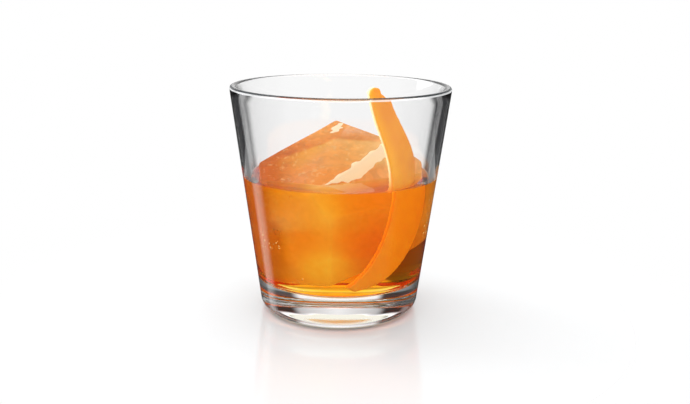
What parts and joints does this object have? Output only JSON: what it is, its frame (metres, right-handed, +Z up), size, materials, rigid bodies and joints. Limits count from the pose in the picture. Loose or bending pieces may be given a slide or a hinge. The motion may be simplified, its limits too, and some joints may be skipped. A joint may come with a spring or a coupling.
{
  "type": "old fashioned cocktail in its glass",
  "caption": "Heavy tapered tumbler of amber drink with one large block of ice and a strip of orange peel against the wall.",
  "frame": {"origin": "middle of the circle that the glass stands on, on the table", "axes": "+Z up along the glass's axis, -Y towards the side that the peel leans on, +X to the right seen from there"},
  "size_m": [0.0896, 0.0896, 0.0969],
  "materials": {
    "glass": "clear, polished",
    "drink": "clear amber liquid",
    "ice": "clear ice, wet",
    "peel": "orange zest, satin, pale pith inside"
  },
  "bodies": {
    "root": {"glass": "glass", "drink": "drink", "ice_block": "ice", "orange_peel": "peel"}
  },
  "joints": []
}
